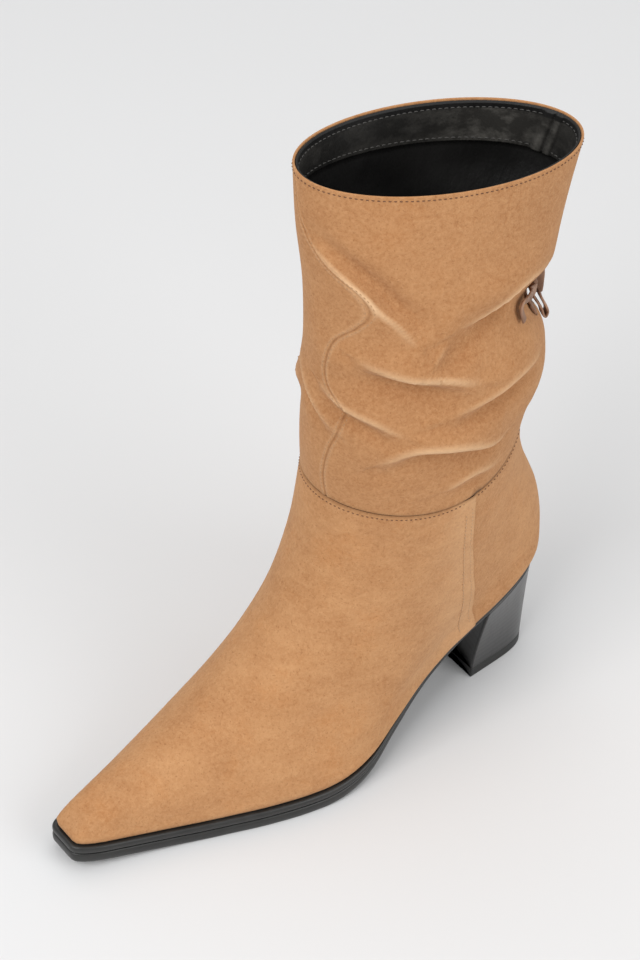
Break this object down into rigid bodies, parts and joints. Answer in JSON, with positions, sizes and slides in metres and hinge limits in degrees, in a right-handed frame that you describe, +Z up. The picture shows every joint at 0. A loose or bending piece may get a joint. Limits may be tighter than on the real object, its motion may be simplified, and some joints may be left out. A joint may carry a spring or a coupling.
{
  "type": "slouch boot",
  "caption": "Left pull-on slouch boot in suede with a snipped pointed toe, a gathered shaft with a tie at the back, a thin welted sole and a block heel.",
  "frame": {"origin": "middle of the heel's bottom face, on the floor that the boot stands on", "axes": "+Z up; the toe points along -Y; +X is the outer side of the left foot"},
  "size_m": [0.0878, 0.2611, 0.3006],
  "materials": {
    "suede": "napped suede, tan",
    "sole_rubber": "smooth, black, half matt",
    "heel_gloss": "lacquered stacked heel, black, glossy",
    "lining_leather": "smooth lining leather, black",
    "tie_strap": "thin flat strap, brown"
  },
  "bodies": {
    "root": {"outsole": "sole_rubber", "welt": "sole_rubber", "insole": "lining_leather", "heel": "heel_gloss", "top_piece": "sole_rubber", "upper": "suede", "shaft": "suede", "tie_bar": "tie_strap", "tie_knot": "tie_strap", "tie_loop_back": "tie_strap", "tie_loop_outer": "tie_strap", "tie_end_outer": "tie_strap", "tie_end_inner": "tie_strap"}
  },
  "joints": []
}
